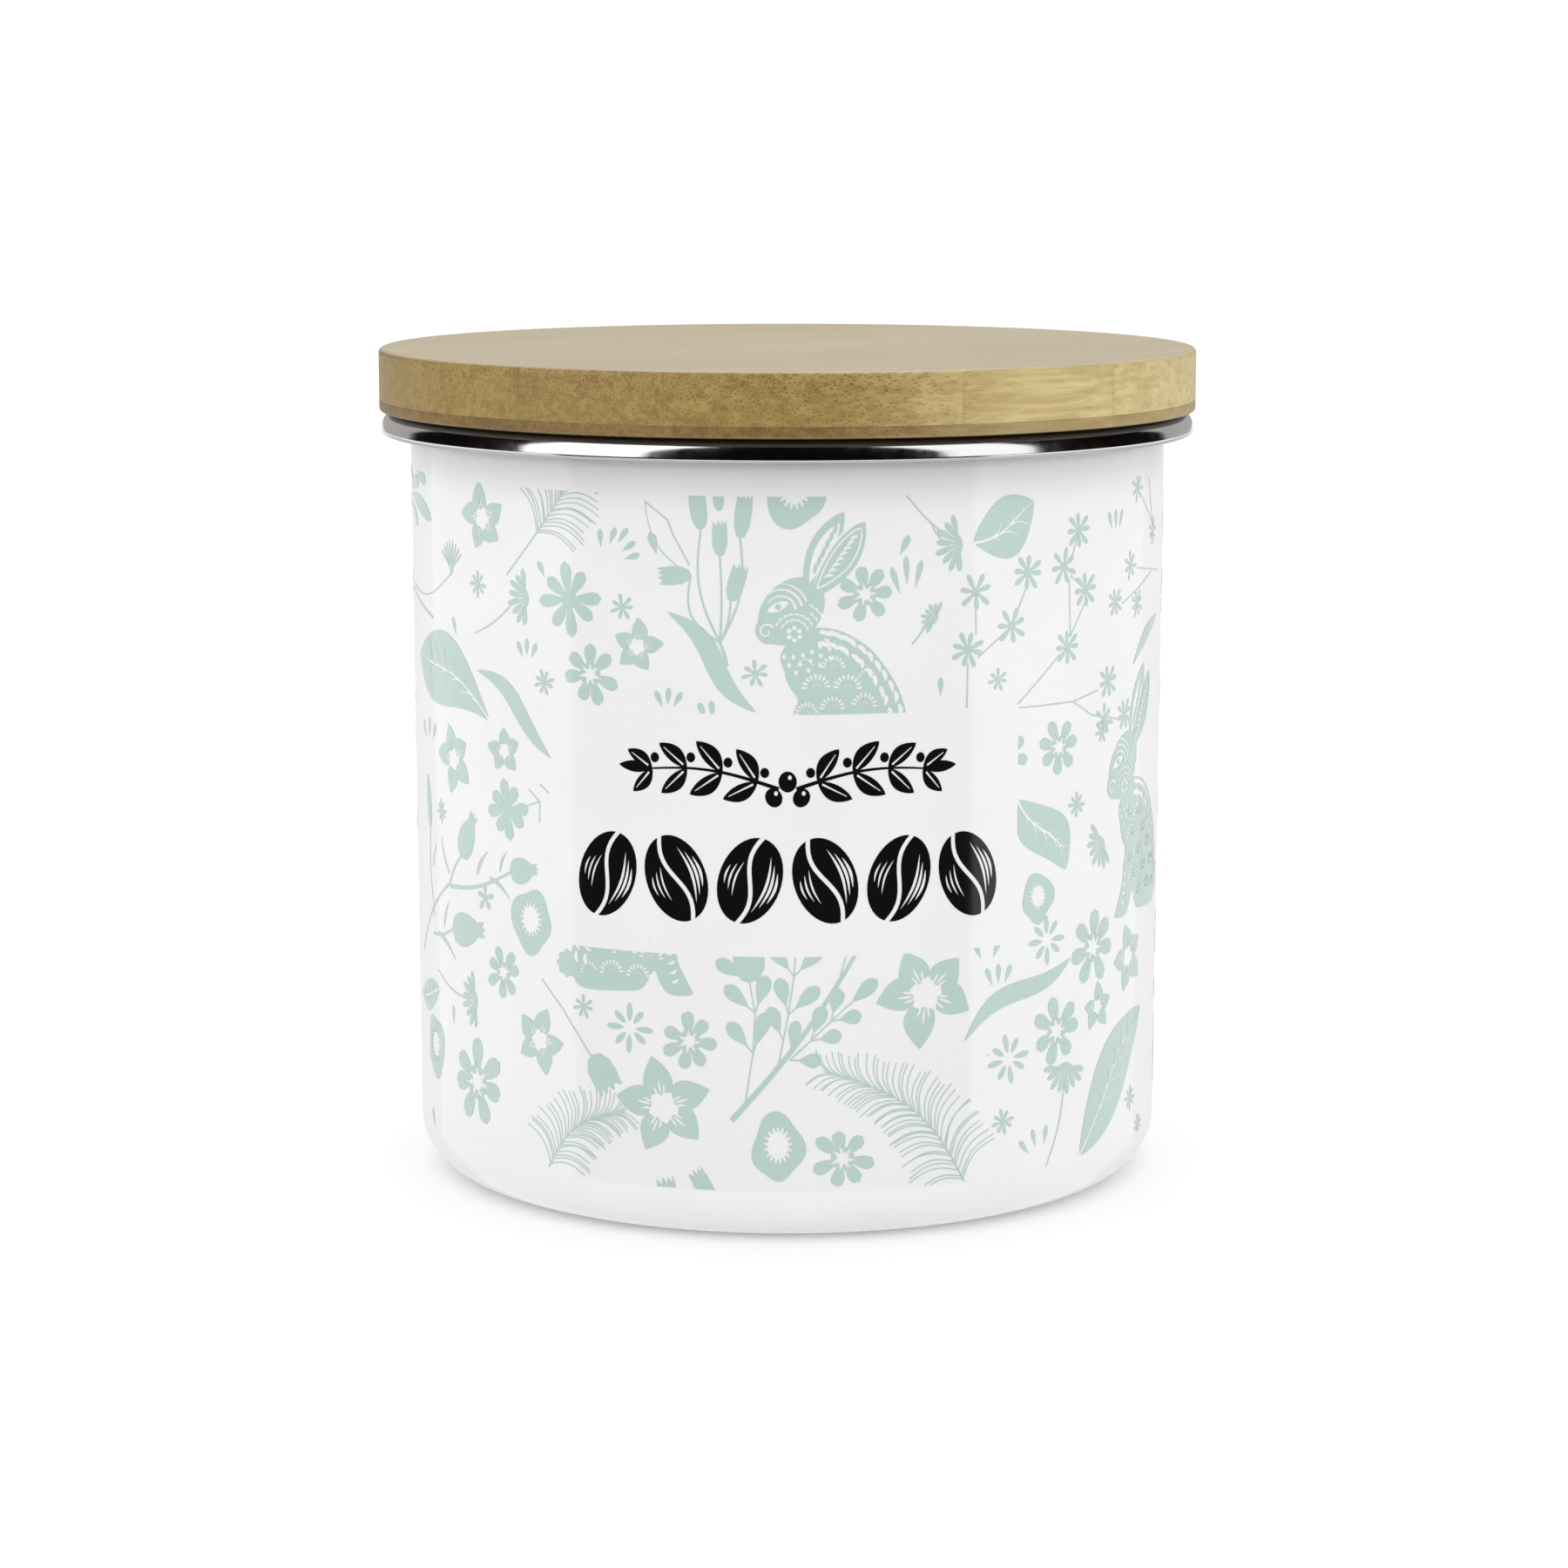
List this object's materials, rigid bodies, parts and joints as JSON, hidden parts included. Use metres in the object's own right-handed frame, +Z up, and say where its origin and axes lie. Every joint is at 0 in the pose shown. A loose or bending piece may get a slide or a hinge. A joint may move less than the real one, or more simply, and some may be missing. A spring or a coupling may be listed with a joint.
{
  "type": "kitchen storage canister",
  "caption": "Straight-sided round enamelled steel canister with a polished steel rim and a flat laminated bamboo lid that lifts off on a silicone seal.",
  "frame": {"origin": "centre of the base, on the plane it stands on", "axes": "+Z up along the canister's axis; the label window faces -Y"},
  "size_m": [0.12, 0.12, 0.1218],
  "materials": {
    "enamel": "glossy vitreous enamel fused on drawn steel",
    "polished_steel": "polished stainless steel",
    "silicone": "satin, slightly milky",
    "bamboo_top_ply": "sanded and lightly oiled",
    "bamboo_lower_ply": "sanded and lightly oiled"
  },
  "bodies": {
    "canister": {"canister_body": "enamel", "rim_ring": "polished_steel"},
    "seal": {"lid_seal": "silicone"},
    "lid": {"lid_top_stave_1": "bamboo_top_ply", "lid_top_stave_2": "bamboo_top_ply", "lid_top_stave_3": "bamboo_top_ply", "lid_top_stave_4": "bamboo_top_ply", "lid_top_stave_5": "bamboo_top_ply", "lid_top_stave_6": "bamboo_top_ply", "lid_top_stave_7": "bamboo_top_ply", "lid_lower_stave_1": "bamboo_lower_ply", "lid_lower_stave_2": "bamboo_lower_ply", "lid_lower_stave_3": "bamboo_lower_ply", "lid_lower_stave_4": "bamboo_lower_ply", "lid_lower_stave_5": "bamboo_lower_ply", "lid_lower_stave_6": "bamboo_lower_ply"}
  },
  "joints": [
    {"name": "lid_lift", "type": "slide", "parent": "canister", "child": "seal", "axis": [0, 0, 1], "range_m": [0, 0.06]},
    {"name": "lid_turn", "type": "hinge", "parent": "seal", "child": "lid", "pos_m": [0, 0, 0.1088], "axis": [0, 0, 1], "continuous": true}
  ]
}
